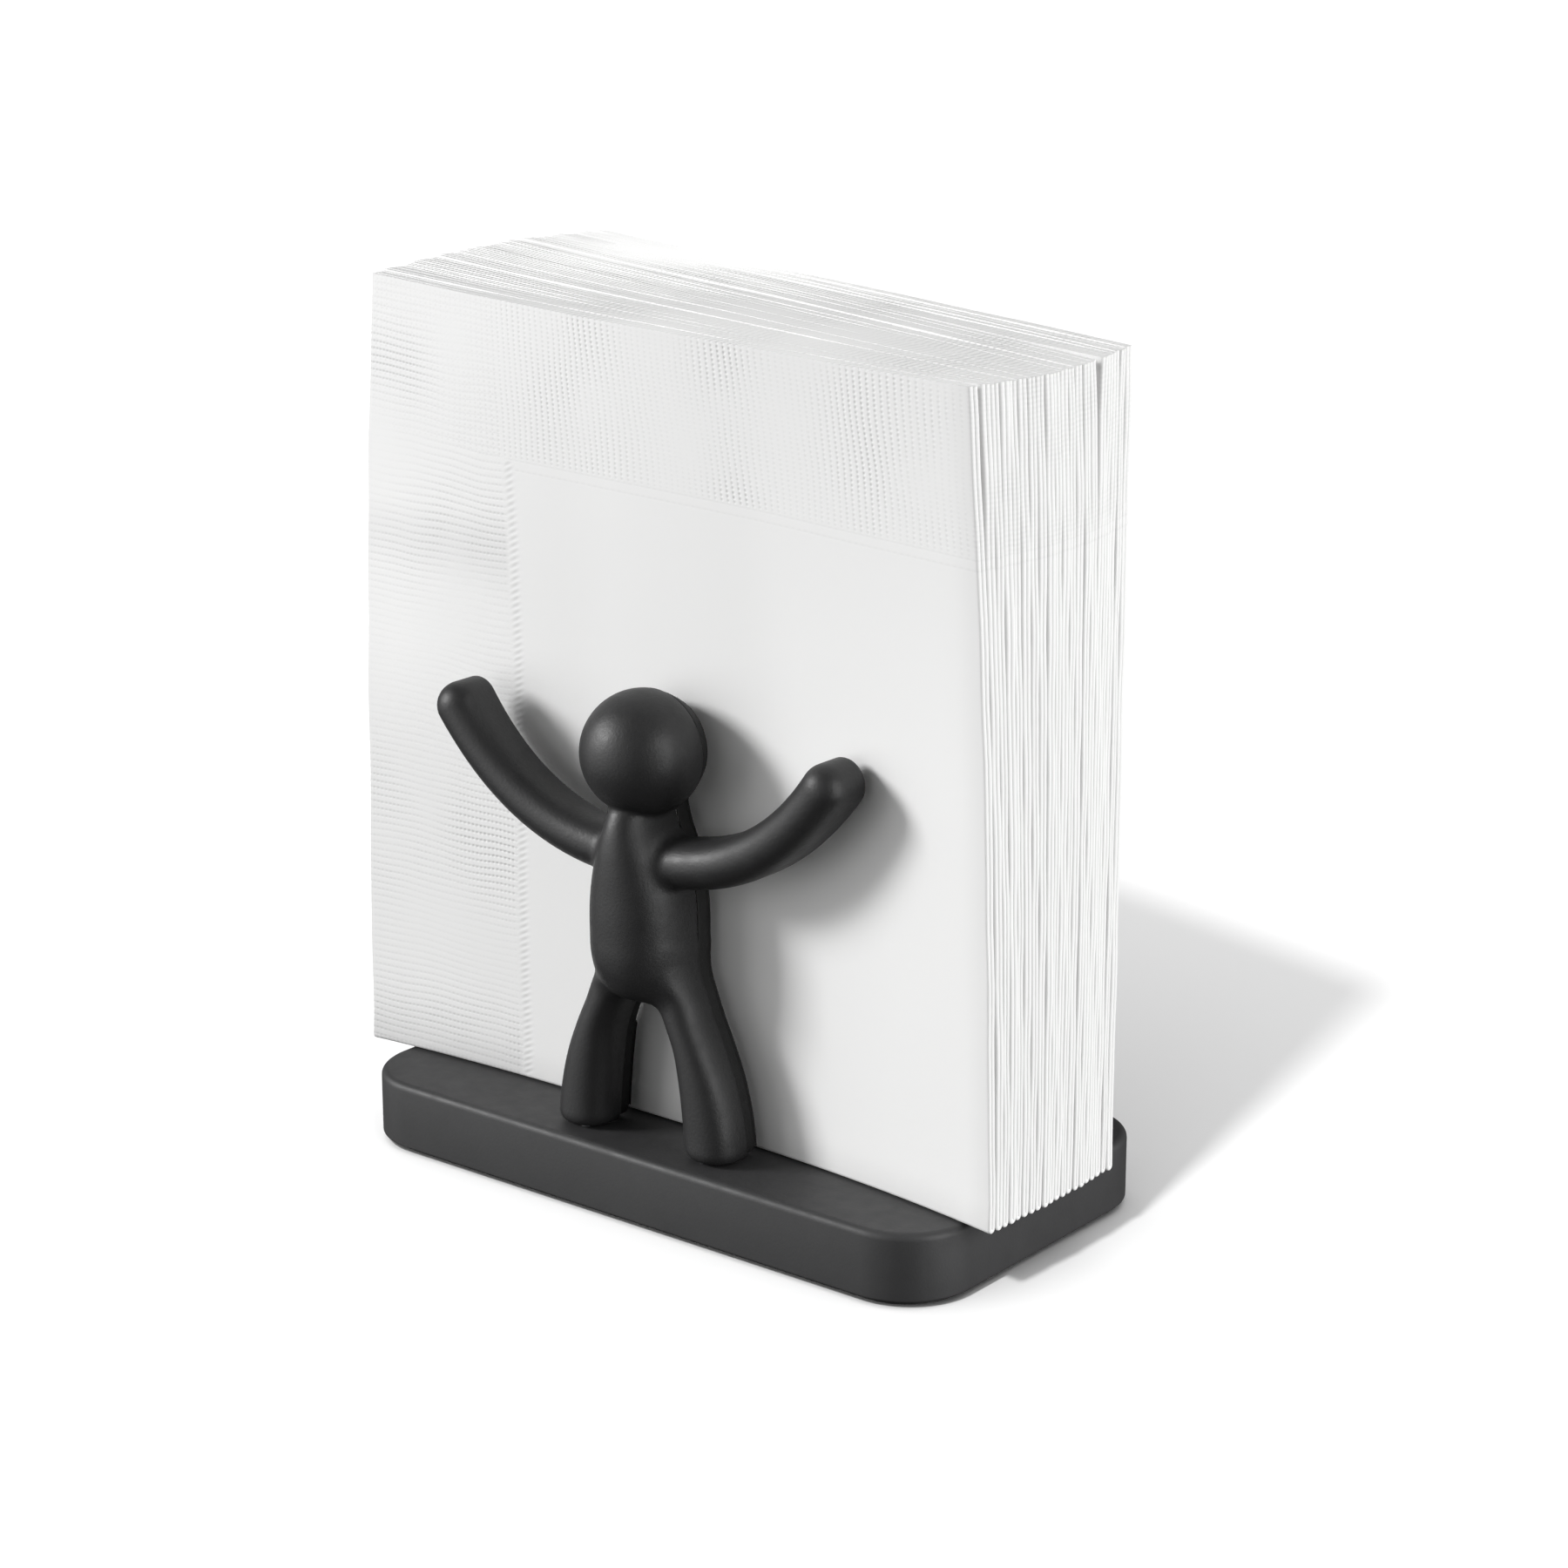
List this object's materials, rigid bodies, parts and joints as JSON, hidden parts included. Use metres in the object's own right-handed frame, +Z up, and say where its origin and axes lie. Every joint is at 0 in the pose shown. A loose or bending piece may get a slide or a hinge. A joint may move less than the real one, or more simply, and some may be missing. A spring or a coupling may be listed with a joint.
{
  "type": "napkin dispenser",
  "caption": "Tabletop napkin dispenser: a low weighted base with a raised-arm figure at the front and rear, and a lift-out stack of folded paper napkins standing between them",
  "frame": {"origin": "centre of the foot pad's underside, on the table", "axes": "+Z up, +X along the base, -Y towards the front figure"},
  "size_m": [0.168, 0.1012, 0.1832],
  "materials": {
    "base_grey": "matte",
    "figure_black": "satin",
    "steel": "satin",
    "pad_rubber": "matte",
    "napkin_paper": "matte"
  },
  "bodies": {
    "holder": {"base_shell": "base_grey", "weight_plate": "steel", "bottom_cover": "figure_black", "foot_pad": "pad_rubber", "cover_screw_1": "steel", "cover_screw_2": "steel", "cover_screw_3": "steel", "cover_screw_4": "steel", "front_foot_screw_left": "steel", "front_foot_screw_right": "steel", "rear_foot_screw_left": "steel", "rear_foot_screw_right": "steel", "front_figure_shell": "figure_black", "front_figure_back": "figure_black", "rear_figure_shell": "figure_black", "rear_figure_back": "figure_black"},
    "refill": {"napkin_01": "napkin_paper", "napkin_02": "napkin_paper", "napkin_03": "napkin_paper", "napkin_04": "napkin_paper", "napkin_05": "napkin_paper", "napkin_06": "napkin_paper", "napkin_07": "napkin_paper", "napkin_08": "napkin_paper", "napkin_09": "napkin_paper", "napkin_10": "napkin_paper", "napkin_11": "napkin_paper", "napkin_12": "napkin_paper", "napkin_13": "napkin_paper", "napkin_14": "napkin_paper", "napkin_15": "napkin_paper", "napkin_16": "napkin_paper", "napkin_17": "napkin_paper", "napkin_18": "napkin_paper", "napkin_19": "napkin_paper", "napkin_20": "napkin_paper"}
  },
  "joints": [
    {"name": "refill_lift", "type": "slide", "parent": "holder", "child": "refill", "axis": [0, 0, 1], "range_m": [0, 0.18]}
  ]
}
